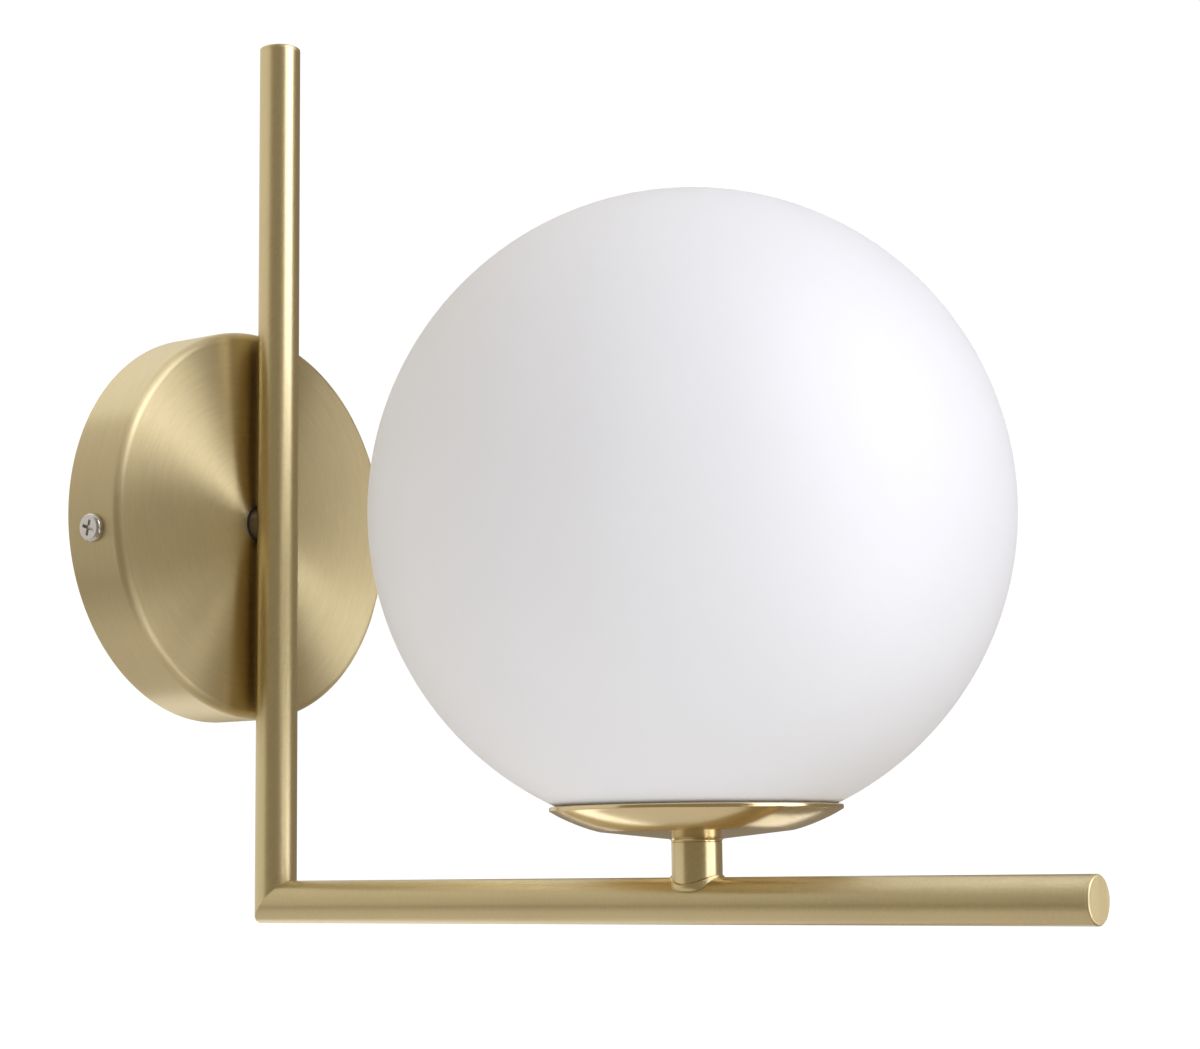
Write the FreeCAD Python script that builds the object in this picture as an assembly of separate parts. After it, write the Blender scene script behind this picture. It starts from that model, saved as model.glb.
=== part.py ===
import FreeCAD, Part
import math
import os

# Globe wall sconce, all sizes in millimetres.
# Origin: wall plane, on the axis of the round canopy. +Z is up, +Y goes into the wall.

# Glass globe
globe_diameter = 200.0
globe_wall = 2.5
globe_mouth_diameter = 75.0
globe_reach = 204.5

# Frame tubes
tube_diameter = 14.3
tube_wall = 1.0
upright_rise = 171.3
upright_drop = 131.0
arm_reach = 335.9
cap_thickness = 1.5
cap_rounding = 0.6
cap_spigot = 4.0

# Canopy on the wall
canopy_diameter = 136.6
canopy_depth = 23.6
canopy_wall = 1.2
canopy_edge_radius = 3.0

# Joint between canopy and upright
boss_diameter = 12.4
boss_land = 0.8
boss_washer_diameter = 13.4
boss_washer_thickness = 0.4
nipple_wall = 1.0
nipple_spare = 1.5
nipple_reach_into_tube = 1.75
washer_diameter = 18.0
washer_thickness = 1.0
nut_across_flats = 14.0
nut_thickness = 3.5
nut_chamfer = 0.28
bush_flange_thickness = 1.0
bush_spigot = 4.0
bush_wall = 0.35
bush_passage_clearance = 0.3

# Stem between arm and dish
stem_diameter = 15.5
stem_height = 17.8
stem_nipple_engagement = 8.0
collar_lip = 0.7
collar_proud = 0.6
collar_foot_height = 2.7
collar_foot_rounding = 1.9
fish_mouth_radius = 12.6
arm_wire_hole_diameter = 9.0

# Dish under the globe
dish_diameter = 89.8
dish_depth = 10.9
dish_lip_height = 1.6
dish_wall = 1.2
dish_knee_radius = 29.5
dish_knee_height = 3.25
dish_hub_height = 0.35
dish_hub_fillet = 1.0
dish_bow = 0.81
dish_rim_rounding = 0.5
dish_lip_rounding = 0.3
dish_floor_thickness = 2.9
dish_floor_radius = 15.0
dish_washer_diameter = 16.0

# Spring plate inside the dish
plate_thickness = 0.8
plate_well_radius = 14.0
plate_cone_run = 4.0
plate_flange_height = 6.6
plate_flange_inset = 1.5
plate_bend_radius = 1.0
clip_count = 3
clip_first_angle = 90.0
clip_thickness = 0.5
clip_width = 8.0
clip_foot_length = 9.8
clip_shoulder_inset = 1.7
clip_bow_height = 8.5
clip_tip_inset = 3.3
clip_tip_height = 18.0
clip_inner_bend = 1.25
rivet_inset = 6.8
rivet_diameter = 2.4
rivet_head_diameter = 4.4
rivet_head_thickness = 0.8
gasket_thickness = 1.2
gasket_overlap = 0.3

# Lampholder and its strap
holder_strap_thickness = 1.0
holder_strap_width = 15.0
holder_strap_rise = 27.0
holder_strap_bend = 0.7
holder_end_wall = 3.95
holder_side_wall = 4.05
holder_height = 20.0
holder_corner_radius = 3.5
holder_lift = 14.3
holder_recess_depth = 5.0
holder_screw_diameter = 2.9
holder_screw_head_diameter = 5.4
holder_screw_head_thickness = 1.8
holder_screw_depth = 4.5
holder_screw_height = 7.0
contact_pocket_depth = 12.0
contact_pocket_width = 6.0
contact_thickness = 0.5
contact_width = 3.0
contact_base_lift = 1.0

# Capsule bulb with two pins
bulb_base_length = 14.4
bulb_base_width = 9.2
bulb_base_height = 12.0
bulb_base_corner = 2.0
bulb_diameter = 15.0
bulb_glass_wall = 0.8
bulb_glass_length = 36.0
emitter_diameter = 8.0
emitter_length = 24.0
pin_spacing = 9.0
pin_width = 2.8
pin_thickness = 1.0
pin_length = 6.5
pin_tip_rounding = 0.9

# Wall bracket
bracket_thickness = 2.0
bracket_width = 24.0
bracket_corner = 3.0
slot_spacing = 70.0
slot_length = 12.0
slot_width = 4.5
ear_width = 13.0
ear_bend_radius = 2.0
ear_foot = 14.0
ear_root_step = 1.0
tab_width = 22.0
tab_length = 34.0
side_screw_drop_angle = 5.7
side_screw_turn = 20.0
side_screw_diameter = 3.9
side_screw_length = 7.0
side_screw_head_diameter = 9.6
side_screw_head_thickness = 2.2
side_screw_head_rounding = 1.2
cross_recess_length = 5.4
cross_recess_width = 1.1
cross_recess_depth = 1.3

# Earth terminal on the bracket
earth_screw_place = 19.0
earth_screw_diameter = 3.9
earth_screw_head_diameter = 7.2
earth_screw_head_thickness = 2.3
earth_washer_diameter = 7.8
earth_washer_thickness = 0.8
earth_ring_diameter = 8.0
earth_ring_thickness = 0.8
earth_tongue_width = 3.4
earth_tongue_reach = 8.5
earth_recess_length = 4.3
screw_slot_width = 0.9
screw_slot_depth = 1.0

# Terminal block on the bracket
block_width = 18.0
block_length = 16.0
block_height = 12.0
block_drop = 34.0
block_corner = 1.5
way_spacing = 9.0
way_height = 7.5
clamp_wall = 0.85
clamp_way_clearance = 0.35
clamp_length = 13.0
clamp_stop_thickness = 1.0
clamp_screw_diameter = 2.3
clamp_screw_head_diameter = 3.4
clamp_screw_head_thickness = 1.3
clamp_screw_offset = 3.6
clamp_screw_recess = 0.8
clamp_slot_width = 0.55
clamp_slot_depth = 0.6
block_screw_diameter = 2.9
block_screw_head_diameter = 5.0
block_screw_head_thickness = 1.8
block_recess_length = 3.0

# Wires
wire_diameter = 2.0
wire_gap = 0.2
wire_entry_into_clamp = 5.0
wire_turn_behind = 6.0
wire_turn_earth = 4.5
earth_wire_rise = 8.5
wire_turn_upright = 6.5
wire_turn_corner = 15.0
wire_turn_stem = 10.0
wire_turn_tag = 3.6
wire_drop_in_arm = 2.0
tag_diameter = 4.4
tag_thickness = 0.8

# Clearances
thread_clearance = 0.1
braze_gap = 0.05
seat_gap = 0.05
pass_clearance = 0.2
moving_clearance = 0.35
ear_clearance = 0.6
ear_front_clearance = 3.4
clip_mouth_clearance = 0.65
overcut = 5.0
same_place = 1e-6

# Places worked out from the sizes above
canopy_radius = canopy_diameter / 2
canopy_face_y = -canopy_depth
canopy_inner_y = canopy_face_y + canopy_wall
tube_radius = tube_diameter / 2
bore_radius = tube_radius - tube_wall
wire_radius = wire_diameter / 2
wire_pitch = wire_diameter + wire_gap
bush_passage_radius = wire_pitch + wire_radius + bush_passage_clearance
nipple_bore_radius = bush_passage_radius + bush_wall + braze_gap
nipple_radius = nipple_bore_radius + nipple_wall
nipple_hole_radius = nipple_radius + thread_clearance
boss_rear_y = canopy_face_y - boss_washer_thickness
upright_y = boss_rear_y - boss_land - tube_radius
arm_z = -upright_drop
upright_top_z = upright_rise
arm_end_y = -arm_reach
stem_y = -globe_reach
seam_z = arm_z + stem_height
side_screw_y = canopy_face_y / 2
ear_outer = canopy_radius - canopy_wall - ear_clearance
ear_front_y = canopy_inner_y + ear_front_clearance
bracket_front_y = -bracket_thickness
mount_nut_y = canopy_inner_y + washer_thickness
nipple_rear_y = mount_nut_y + nut_thickness + nipple_spare
nipple_front_y = upright_y + bore_radius - nipple_reach_into_tube
dish_floor_z = seam_z + dish_floor_thickness
plate_top_z = dish_floor_z + plate_thickness
flange_bottom_z = seam_z + plate_flange_height
flange_top_z = flange_bottom_z + plate_thickness
mouth_z = flange_top_z + gasket_thickness + seat_gap
globe_radius = globe_diameter / 2
mouth_radius = globe_mouth_diameter / 2
globe_inner_radius = globe_radius - globe_wall
globe_z = mouth_z + math.sqrt(globe_radius ** 2 - mouth_radius ** 2)
mouth_inner_radius = math.sqrt(globe_inner_radius ** 2 - (globe_z - mouth_z) ** 2)
plate_flange_radius = mouth_radius - plate_flange_inset
clip_bow_radius = mouth_inner_radius - clip_mouth_clearance - clip_thickness / 2
rivet_radial_place = clip_bow_radius - rivet_inset
strap_top_z = plate_top_z + holder_strap_thickness
dish_nut_z = strap_top_z + washer_thickness
dish_nipple_top_z = dish_nut_z + nut_thickness + nipple_spare
holder_length = bulb_base_length + 2 * (moving_clearance + holder_end_wall)
holder_width = bulb_base_width + 2 * (moving_clearance + holder_side_wall)
holder_bottom_z = dish_floor_z + holder_lift
holder_top_z = holder_bottom_z + holder_height
pocket_top_z = holder_bottom_z + contact_pocket_depth
bulb_seat_z = holder_top_z - holder_recess_depth
bulb_base_z = bulb_seat_z + moving_clearance
block_y = bracket_front_y - block_height / 2
way_y = bracket_front_y - way_height
block_z = -block_drop
clamp_bore_radius = wire_radius + clamp_way_clearance
clamp_radius = clamp_bore_radius + clamp_wall

X = FreeCAD.Vector(1, 0, 0)
Y = FreeCAD.Vector(0, 1, 0)
Z = FreeCAD.Vector(0, 0, 1)
ORIGIN = FreeCAD.Vector(0, 0, 0)
STEM_FOOT = FreeCAD.Vector(0, stem_y, arm_z)


def point(x, y, z):
    return FreeCAD.Vector(x, y, z)


def rod(radius, start, end):
    """Solid cylinder from one point to another."""
    span = end - start
    return Part.makeCylinder(radius, span.Length, start, span)


def pipe(outer, inner, start, end):
    """Hollow cylinder from one point to another, open right through."""
    reach = (end - start).normalize() * overcut
    return rod(outer, start, end).cut(rod(inner, start - reach, end + reach))


def block(x_range, y_range, z_range):
    """Solid box between two values on each axis."""
    size = [high - low for low, high in (x_range, y_range, z_range)]
    corner = point(x_range[0], y_range[0], z_range[0])
    return Part.makeBox(size[0], size[1], size[2], corner)


def rounded_edges(corners, radii, closed=False):
    """Straight runs between corners, with a tangent arc of the given radius at each corner."""
    count = len(corners)
    entries = []
    exits = []
    middles = []
    for index, corner in enumerate(corners):
        radius = radii[index]
        end_point = not closed and index in (0, count - 1)
        if radius <= 0 or end_point:
            entries.append(corner)
            exits.append(corner)
            middles.append(None)
            continue
        back = (corners[index - 1] - corner).normalize()
        ahead = (corners[(index + 1) % count] - corner).normalize()
        half_angle = back.getAngle(ahead) / 2
        cut_length = radius / math.tan(half_angle)
        bisector = (back + ahead).normalize()
        entries.append(corner + back * cut_length)
        exits.append(corner + ahead * cut_length)
        middles.append(corner + bisector * (radius / math.sin(half_angle) - radius))
    edges = []
    for index in range(count):
        if middles[index] is not None:
            arc = Part.Arc(entries[index], middles[index], exits[index])
            edges.append(arc.toShape())
        following = (index + 1) % count
        run_ends = closed or following
        if run_ends and (entries[following] - exits[index]).Length > same_place:
            edges.append(Part.LineSegment(exits[index], entries[following]).toShape())
    return edges


def face_from(corners, radii):
    """Flat face inside a closed outline with rounded corners."""
    return Part.Face(Part.Wire(rounded_edges(corners, radii, closed=True)))


def lathe_up(outline, radii, centre):
    """Turned solid about an upright axis; the outline is (radius, height) pairs."""
    corners = [centre + point(radius, 0, height) for radius, height in outline]
    return face_from(corners, radii).revolve(centre, Z, 360)


def lathe_wall(outline, radii):
    """Turned solid about the Y axis; the outline is (radius, y) pairs."""
    corners = [point(radius, y, 0) for radius, y in outline]
    return face_from(corners, radii).revolve(ORIGIN, Y, 360)


def rounded_bar(length, width, low_z, high_z, corner_radius, centre_y):
    """Upright bar with a rounded rectangular section centred on x = 0."""
    half_length = length / 2
    half_width = width / 2
    corners = [
        point(-half_length, centre_y - half_width, low_z),
        point(half_length, centre_y - half_width, low_z),
        point(half_length, centre_y + half_width, low_z),
        point(-half_length, centre_y + half_width, low_z),
    ]
    return face_from(corners, [corner_radius] * 4).extrude(Z * (high_z - low_z))


def strip(corners, radii, thickness, width, across):
    """Flat strip bent along a path; the path runs down the middle of its thickness."""
    edges = rounded_edges(corners, radii)
    heading = (corners[1] - corners[0]).normalize()
    side = heading.cross(across).normalize() * (thickness / 2)
    half = across * (width / 2)
    start = corners[0]
    outline = [start + side + half, start - side + half, start - side - half, start + side - half]
    section = Part.makePolygon(outline + outline[:1])
    return Part.Wire(edges).makePipeShell([section], True, False)


def hexagon(across_flats, thickness, hole_radius, start, axis, flat_towards):
    """Hexagon nut with two flats facing along flat_towards, and a chamfered outer edge."""
    corner_radius = across_flats / math.sqrt(3)
    side = axis.cross(flat_towards)
    corners = []
    for index in range(6):
        angle = math.radians(60 * index)
        corners.append(start + (side * math.cos(angle) + flat_towards * math.sin(angle)) * corner_radius)
    body = Part.Face(Part.makePolygon(corners + corners[:1])).extrude(axis * thickness)
    bevel = nut_chamfer
    blank_radius = corner_radius - bevel
    low = Part.makeCone(blank_radius, blank_radius + bevel, bevel, start, axis)
    middle = rod(corner_radius, start + axis * bevel, start + axis * (thickness - bevel))
    high_start = start + axis * (thickness - bevel)
    high = Part.makeCone(blank_radius + bevel, blank_radius, bevel, high_start, axis)
    rounded = body.common(low.fuse(middle).fuse(high))
    return rounded.cut(rod(hole_radius, start - axis * overcut, start + axis * (thickness + overcut)))


def cross_cut(base, outward, depth, length, width):
    """Cross-shaped recess sunk into a screw head whose top is at base."""
    side = X if abs(outward.dot(X)) < 0.5 else Y
    other = outward.cross(side)
    bars = []
    for long_way, short_way in ((side, other), (other, side)):
        corner = base - long_way * (length / 2) - short_way * (width / 2) - outward * depth
        outline = [
            corner,
            corner + long_way * length,
            corner + long_way * length + short_way * width,
            corner + short_way * width,
        ]
        face = Part.Face(Part.makePolygon(outline + outline[:1]))
        bars.append(face.extrude(outward * (depth + overcut)))
    return bars[0].fuse(bars[1])


def slot_cut(base, outward, depth, length, width):
    """Straight screwdriver slot sunk into a screw head whose top is at base."""
    side = X if abs(outward.dot(X)) < 0.5 else Z
    other = outward.cross(side)
    corner = base - side * (length / 2) - other * (width / 2) - outward * depth
    outline = [corner, corner + side * length, corner + side * length + other * width, corner + other * width]
    return Part.Face(Part.makePolygon(outline + outline[:1])).extrude(outward * (depth + overcut))


def mirrored_pair(shape):
    """The shape and its mirror image in the plane x = 0."""
    return [shape, shape.mirror(ORIGIN, X)]


def group(solids):
    return Part.makeCompound(solids)


def mitre_block(towards_upright):
    """Large block on one side of the mitre plane between upright and arm."""
    size = 4 * (upright_rise + upright_drop + arm_reach)
    low = 0 if towards_upright else -size
    half_space = Part.makeBox(size, size, size, point(-size / 2, -size / 2, low))
    half_space.rotate(ORIGIN, X, -45)
    half_space.translate(point(0, upright_y, arm_z))
    return half_space


def drop_to_side_screw(shape):
    """Turns a shape made on the +X axis down to the side screw's place."""
    shape.rotate(ORIGIN, Y, side_screw_drop_angle)
    return shape


# Canopy and what clamps the upright to it

def canopy_cover():
    inner_edge = max(canopy_edge_radius - canopy_wall, 0)
    outline = [
        (nipple_radius + pass_clearance, canopy_face_y),
        (canopy_radius, canopy_face_y),
        (canopy_radius, 0),
        (canopy_radius - canopy_wall, 0),
        (canopy_radius - canopy_wall, canopy_inner_y),
        (nipple_radius + pass_clearance, canopy_inner_y),
    ]
    cover = lathe_wall(outline, [0, canopy_edge_radius, 0, 0, inner_edge, 0])
    hole = rod(
        side_screw_diameter / 2 + pass_clearance,
        point(ear_outer - overcut, side_screw_y, 0),
        point(canopy_radius + overcut, side_screw_y, 0),
    )
    for side_hole in mirrored_pair(drop_to_side_screw(hole)):
        cover = cover.cut(side_hole)
    return cover


def side_screws():
    head_start = canopy_radius + seat_gap
    tip = head_start - side_screw_length
    head_end = head_start + side_screw_head_thickness
    shank = rod(side_screw_diameter / 2, point(tip, 0, 0), point(head_start, 0, 0))
    head_radius = side_screw_head_diameter / 2
    outline = [
        point(head_start, 0, 0),
        point(head_start, head_radius, 0),
        point(head_end, head_radius, 0),
        point(head_end, 0, 0),
    ]
    head = face_from(outline, [0, 0, side_screw_head_rounding, 0]).revolve(ORIGIN, X, 360)
    recess = cross_cut(
        point(head_end, 0, 0), X, cross_recess_depth, cross_recess_length, cross_recess_width)
    screw = shank.fuse(head).cut(recess)
    screw.rotate(ORIGIN, X, side_screw_turn)
    screw.translate(point(0, side_screw_y, 0))
    return group(mirrored_pair(drop_to_side_screw(screw)))


def boss_washer():
    return pipe(boss_washer_diameter / 2, nipple_hole_radius,
                point(0, canopy_face_y, 0), point(0, boss_rear_y, 0))


def mount_boss():
    boss = pipe(boss_diameter / 2, nipple_hole_radius, point(0, boss_rear_y, 0), point(0, upright_y, 0))
    tube_space = rod(
        tube_radius + braze_gap,
        point(0, upright_y, -boss_diameter),
        point(0, upright_y, boss_diameter),
    )
    return boss.cut(tube_space)


def mount_nipple():
    return pipe(nipple_radius, nipple_bore_radius, point(0, nipple_front_y, 0), point(0, nipple_rear_y, 0))


def mount_washer():
    return pipe(washer_diameter / 2, nipple_hole_radius,
                point(0, canopy_inner_y, 0), point(0, mount_nut_y, 0))


def mount_nut():
    return hexagon(nut_across_flats, nut_thickness, nipple_hole_radius, point(0, mount_nut_y, 0), Y, X)


def nipple_bush():
    spigot_radius = nipple_bore_radius - braze_gap
    flange_end_y = nipple_rear_y + bush_flange_thickness
    flange = rod(nipple_radius, point(0, nipple_rear_y, 0), point(0, flange_end_y, 0))
    spigot = rod(spigot_radius, point(0, nipple_rear_y - bush_spigot, 0), point(0, nipple_rear_y, 0))
    passage = rod(
        bush_passage_radius,
        point(0, nipple_rear_y - 2 * bush_spigot, 0),
        point(0, flange_end_y + overcut, 0),
    )
    return flange.fuse(spigot).cut(passage)


# Tubes

def upright_tube():
    top_z = upright_top_z - cap_thickness
    tube = pipe(tube_radius, bore_radius,
                point(0, upright_y, arm_z - 2 * tube_diameter), point(0, upright_y, top_z))
    wire_hole = rod(nipple_hole_radius, point(0, upright_y, 0), point(0, canopy_face_y, 0))
    return tube.cut(mitre_block(False)).cut(wire_hole)


def arm_tube():
    end_y = arm_end_y + cap_thickness
    tube = pipe(tube_radius, bore_radius,
                point(0, upright_y + 2 * tube_diameter, arm_z), point(0, end_y, arm_z))
    wire_hole = rod(arm_wire_hole_diameter / 2, STEM_FOOT, STEM_FOOT + Z * tube_diameter)
    return tube.cut(mitre_block(True)).cut(wire_hole)


def end_cap(outer_end, outward):
    """Disc that closes a tube, with a spigot inside the bore."""
    inner_end = outer_end - outward * cap_thickness
    disc = rod(tube_radius, inner_end, outer_end)
    circles = [edge for edge in disc.Edges if edge.Curve.TypeId == "Part::GeomCircle"]
    rim = [edge for edge in circles if (edge.Curve.Center - outer_end).Length < same_place]
    disc = disc.makeFillet(cap_rounding, rim)
    spigot = rod(bore_radius - braze_gap, inner_end - outward * cap_spigot, inner_end)
    return disc.fuse(spigot)


def upright_cap():
    return end_cap(point(0, upright_y, upright_top_z), Z)


def arm_cap():
    return end_cap(point(0, arm_end_y, arm_z), -Y)


# Stem

def fish_mouth(extra):
    """Cylinder along the arm whose top gives the curved seam between stem and collar."""
    axis_z = arm_z + tube_radius + collar_lip - fish_mouth_radius
    reach = stem_diameter + overcut
    return rod(fish_mouth_radius + extra,
               point(0, stem_y - reach, axis_z), point(0, stem_y + reach, axis_z))


def stem_collar():
    outer = stem_diameter / 2 + collar_proud
    top = stem_height
    outline = [
        (nipple_hole_radius, collar_foot_height),
        (outer, collar_foot_height),
        (outer, top),
        (nipple_hole_radius, top),
    ]
    collar = lathe_up(outline, [0, collar_foot_rounding, 0, 0], STEM_FOOT)
    reach = stem_diameter + overcut
    arm_space = rod(tube_radius + braze_gap,
                    point(0, stem_y - reach, arm_z), point(0, stem_y + reach, arm_z))
    return collar.common(fish_mouth(0)).cut(arm_space)


def stem_post():
    post = pipe(stem_diameter / 2, nipple_hole_radius, STEM_FOOT, point(0, stem_y, seam_z))
    return post.cut(fish_mouth(braze_gap))


def dish_nipple():
    return pipe(nipple_radius, nipple_bore_radius,
                point(0, stem_y, seam_z - stem_nipple_engagement), point(0, stem_y, dish_nipple_top_z))


# Dish and globe seat

def dish():
    hub_radius = stem_diameter / 2
    rim_radius = dish_diameter / 2
    lip_start = dish_depth - dish_lip_height
    bowl_radius = rim_radius - dish_wall / 2
    inner_rim = rim_radius - dish_wall
    middle_radius = (dish_knee_radius + bowl_radius) / 2
    middle_height = (dish_knee_height + lip_start) / 2 - dish_bow
    centre = point(0, stem_y, seam_z)

    def at(radius, height):
        return centre + point(radius, 0, height)

    hub_corners = [
        at(nipple_hole_radius, dish_floor_thickness),
        at(nipple_hole_radius, 0),
        at(hub_radius, 0),
        at(hub_radius, dish_hub_height + dish_hub_fillet / 2),
        at(dish_knee_radius, dish_knee_height),
    ]
    edges = rounded_edges(hub_corners, [0, 0, 0, dish_hub_fillet, 0])
    under_bowl = Part.Arc(
        at(dish_knee_radius, dish_knee_height),
        at(middle_radius, middle_height),
        at(bowl_radius, lip_start))
    edges.append(under_bowl.toShape())
    lip_corners = [
        at(bowl_radius, lip_start),
        at(rim_radius, lip_start + dish_wall / 4),
        at(rim_radius, dish_depth),
        at(inner_rim, dish_depth),
        at(inner_rim, lip_start + dish_wall / 2),
    ]
    edges += rounded_edges(lip_corners, [0, dish_lip_rounding, dish_rim_rounding, dish_lip_rounding, 0])
    inside_knee = at(dish_knee_radius, dish_knee_height + dish_wall)
    over_bowl = Part.Arc(
        at(inner_rim, lip_start + dish_wall / 2), at(middle_radius, middle_height + dish_wall), inside_knee)
    edges.append(over_bowl.toShape())
    floor_corners = [
        inside_knee,
        at(dish_floor_radius, dish_floor_thickness),
        at(nipple_hole_radius, dish_floor_thickness),
    ]
    edges += rounded_edges(floor_corners, [0, 0, 0])
    return Part.Face(Part.Wire(edges)).revolve(centre, Z, 360)


def dish_washer():
    return pipe(dish_washer_diameter / 2, nipple_hole_radius,
                point(0, stem_y, strap_top_z), point(0, stem_y, dish_nut_z))


def dish_nut():
    return hexagon(nut_across_flats, nut_thickness, nipple_hole_radius, point(0, stem_y, dish_nut_z), Z, Y)


def around_stem(shape):
    """One copy of a shape made on the +X side for each spring clip."""
    copies = []
    for index in range(clip_count):
        copy = shape.copy()
        copy.rotate(ORIGIN, Z, clip_first_angle + index * 360 / clip_count)
        copy.translate(point(0, stem_y, 0))
        copies.append(copy)
    return copies


def clip_plate():
    cone_top = plate_well_radius + plate_cone_run
    low = [
        (nipple_hole_radius, dish_floor_z),
        (plate_well_radius, dish_floor_z),
        (cone_top, flange_bottom_z),
        (plate_flange_radius, flange_bottom_z),
    ]
    high = [(radius, height + plate_thickness) for radius, height in reversed(low)]
    bends = [0, plate_bend_radius, plate_bend_radius, 0]
    plate = lathe_up(low + high, bends + bends, point(0, stem_y, 0))
    hole = rod(rivet_diameter / 2 + braze_gap,
               point(rivet_radial_place, 0, flange_bottom_z - overcut),
               point(rivet_radial_place, 0, flange_top_z + overcut))
    for rivet_hole in around_stem(hole):
        plate = plate.cut(rivet_hole)
    return plate


def globe_clips():
    foot_z = flange_top_z + clip_thickness / 2
    corners = [
        point(clip_bow_radius - clip_foot_length, 0, foot_z),
        point(clip_bow_radius - clip_shoulder_inset, 0, foot_z),
        point(clip_bow_radius, 0, foot_z + clip_bow_height),
        point(clip_bow_radius - clip_tip_inset, 0, foot_z + clip_tip_height),
    ]
    bend = clip_inner_bend + clip_thickness / 2
    leaf = strip(corners, [0, bend, bend, 0], clip_thickness, clip_width, Y)
    hole = rod(rivet_diameter / 2 + braze_gap,
               point(rivet_radial_place, 0, flange_top_z - overcut),
               point(rivet_radial_place, 0, flange_top_z + clip_thickness * 2))
    return group(around_stem(leaf.cut(hole)))


def clip_rivets():
    low_z = flange_bottom_z
    high_z = flange_top_z + clip_thickness
    place = point(rivet_radial_place, 0, 0)
    shank = rod(rivet_diameter / 2, place + Z * low_z, place + Z * high_z)
    under = rod(rivet_head_diameter / 2, place + Z * (low_z - rivet_head_thickness), place + Z * low_z)
    over = rod(rivet_head_diameter / 2, place + Z * high_z, place + Z * (high_z + rivet_head_thickness))
    return group(around_stem(shank.fuse(under).fuse(over)))


def globe_gasket():
    return pipe(mouth_radius - gasket_overlap, mouth_inner_radius + gasket_overlap,
                point(0, stem_y, flange_top_z), point(0, stem_y, flange_top_z + gasket_thickness))


def glass_globe():
    centre = point(0, stem_y, globe_z)
    shell = Part.makeSphere(globe_radius, centre).cut(Part.makeSphere(globe_inner_radius, centre))
    below = block(
        (-globe_diameter, globe_diameter),
        (stem_y - globe_diameter, stem_y + globe_diameter),
        (mouth_z - globe_diameter, mouth_z),
    )
    return shell.cut(below)


# Lampholder

def holder_strap():
    middle_y = holder_width / 2 + holder_strap_thickness / 2
    base_z = plate_top_z + holder_strap_thickness / 2
    top_z = plate_top_z + holder_strap_rise
    corners = [
        point(0, stem_y - middle_y, top_z),
        point(0, stem_y - middle_y, base_z),
        point(0, stem_y + middle_y, base_z),
        point(0, stem_y + middle_y, top_z),
    ]
    bend = holder_strap_bend + holder_strap_thickness / 2
    strap = strip(corners, [0, bend, bend, 0], holder_strap_thickness, holder_strap_width, X)
    strap = strap.cut(rod(nipple_hole_radius, point(0, stem_y, dish_floor_z), point(0, stem_y, dish_nut_z)))
    screw_z = holder_bottom_z + holder_screw_height
    reach = holder_width + overcut
    holes = rod(holder_screw_diameter / 2 + pass_clearance,
                point(0, stem_y - reach, screw_z), point(0, stem_y + reach, screw_z))
    return strap.cut(holes)


def lampholder():
    body = rounded_bar(
        holder_length, holder_width, holder_bottom_z, holder_top_z, holder_corner_radius, stem_y)
    recess = rounded_bar(
        bulb_base_length + 2 * moving_clearance, bulb_base_width + 2 * moving_clearance,
        bulb_seat_z, holder_top_z + overcut, bulb_base_corner + moving_clearance, stem_y)
    body = body.cut(recess)
    half_pocket = contact_pocket_width / 2
    pocket_far = pin_spacing / 2 + pin_thickness / 2 + moving_clearance + contact_thickness + pass_clearance
    pocket = block((wire_pitch - wire_radius - pass_clearance, pocket_far),
                   (stem_y - half_pocket, stem_y + half_pocket),
                   (holder_bottom_z - overcut, pocket_top_z))
    slot_x = pin_spacing / 2
    half_slot_x = pin_thickness / 2 + moving_clearance
    half_slot_y = pin_width / 2 + moving_clearance
    pin_slot = block((slot_x - half_slot_x, slot_x + half_slot_x),
                     (stem_y - half_slot_y, stem_y + half_slot_y),
                     (pocket_top_z - overcut, bulb_seat_z + overcut))
    for cavity in mirrored_pair(pocket) + mirrored_pair(pin_slot):
        body = body.cut(cavity)
    screw_z = holder_bottom_z + holder_screw_height
    for side in (-1, 1):
        outer_y = stem_y + side * (holder_width / 2 + overcut)
        inner_y = stem_y + side * (holder_width / 2 - holder_screw_depth - pass_clearance)
        thread = rod(holder_screw_diameter / 2 + thread_clearance,
                     point(0, inner_y, screw_z), point(0, outer_y, screw_z))
        body = body.cut(thread)
    return body


def holder_contacts():
    """Two forked brass contacts, each welded to the end of its wire."""
    inner_x = wire_pitch - wire_radius
    pin_x = pin_spacing / 2
    grip = pin_thickness / 2 + moving_clearance
    fork_far = pin_x + grip + contact_thickness
    fork_top = pocket_top_z - pass_clearance
    base_z = holder_bottom_z + contact_base_lift
    y_range = (stem_y - contact_width / 2, stem_y + contact_width / 2)
    base = block((inner_x, fork_far), y_range, (base_z, base_z + contact_thickness))
    far_leaf = block((fork_far - contact_thickness, fork_far), y_range, (base_z, fork_top))
    near_far_x = pin_x - grip
    near_leaf = block((near_far_x - contact_thickness, near_far_x), y_range, (base_z, fork_top))
    return group(mirrored_pair(base.fuse(far_leaf).fuse(near_leaf)))


def holder_screws():
    screw_z = holder_bottom_z + holder_screw_height
    screws = []
    for side in (-1, 1):
        outward = Y * side
        seat = point(0, stem_y, screw_z) + outward * (holder_width / 2 + holder_strap_thickness)
        tip = point(0, stem_y, screw_z) + outward * (holder_width / 2 - holder_screw_depth)
        head_top = seat + outward * holder_screw_head_thickness
        screw = rod(holder_screw_diameter / 2, tip, seat)
        screw = screw.fuse(rod(holder_screw_head_diameter / 2, seat, head_top))
        recess = slot_cut(head_top, outward, screw_slot_depth,
                          holder_screw_head_diameter * 2, screw_slot_width)
        screws.append(screw.cut(recess))
    return group(screws)


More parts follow.
